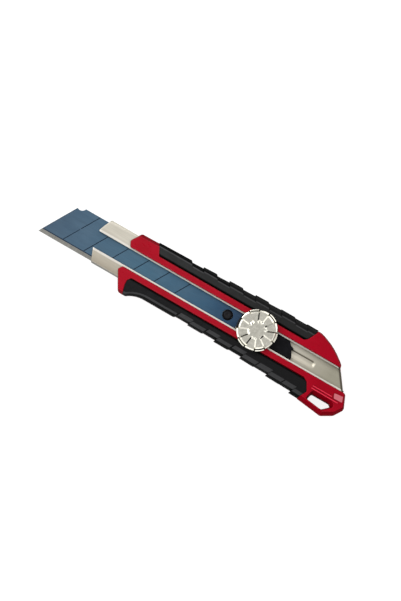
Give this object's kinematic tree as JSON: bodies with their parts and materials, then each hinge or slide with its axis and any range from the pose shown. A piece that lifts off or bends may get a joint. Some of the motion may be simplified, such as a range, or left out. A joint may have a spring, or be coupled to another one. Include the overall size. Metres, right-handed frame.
{
  "type": "snap off knife",
  "caption": "Heavy-duty snap-off knife: scored steel blade in a C-channel, moulded handle with ribbed soft grips, slider with a screw lock wheel and a lanyard slot in the tail.",
  "frame": {"origin": "on the back rest face, under the blade's centre line, half-way along the handle", "axes": "+X along the blade towards the handle's tail, +Y towards the blade's spine, +Z out of the front face with the lock wheel"},
  "size_m": [0.209, 0.0434, 0.019],
  "materials": {
    "blade_steel": "dark oiled steel with a bright ground edge",
    "plated_steel": "satin nickel plate",
    "red_plastic": "satin moulded",
    "soft_grip": "matt",
    "dark_steel": "black oxide",
    "black_plastic": "fine grain",
    "spring_steel": "bright",
    "brass": "turned",
    "chrome": "satin chrome"
  },
  "bodies": {
    "handle": {"blade_channel": "plated_steel", "channel_rivets": "plated_steel", "main_body": "red_plastic", "back_cover": "red_plastic", "upper_grip": "soft_grip", "lower_grip": "soft_grip", "back_grip": "soft_grip", "body_screws": "dark_steel"},
    "slider": {"slider": "black_plastic", "blade_carrier": "plated_steel", "blade_stud": "dark_steel", "carrier_rivets": "plated_steel", "drag_spring": "spring_steel", "blade": "blade_steel", "lip_washer": "plated_steel", "spring_washer": "spring_steel"},
    "wheel": {"lock_wheel": "chrome", "wheel_insert": "brass"},
    "clamp": {"clamp_plate": "plated_steel", "lock_stud": "plated_steel", "stud_clip": "spring_steel"}
  },
  "joints": [
    {"name": "blade_slide", "type": "slide", "parent": "handle", "child": "slider", "axis": [1, 0, 0], "range_m": [-0.075, 0.035]},
    {"name": "wheel_turn", "type": "hinge", "parent": "slider", "child": "wheel", "pos_m": [0.0119, 0, 0.0136], "axis": [0, 0, 1], "range_deg": [0, 270]},
    {"name": "clamp_release", "type": "slide", "parent": "slider", "child": "clamp", "axis": [0, 0, -1], "range_m": [0, 0.0006]}
  ],
  "couplings": [
    {"joint": "wheel_turn", "follows": "clamp_release", "rad_per_m": 7854}
  ]
}
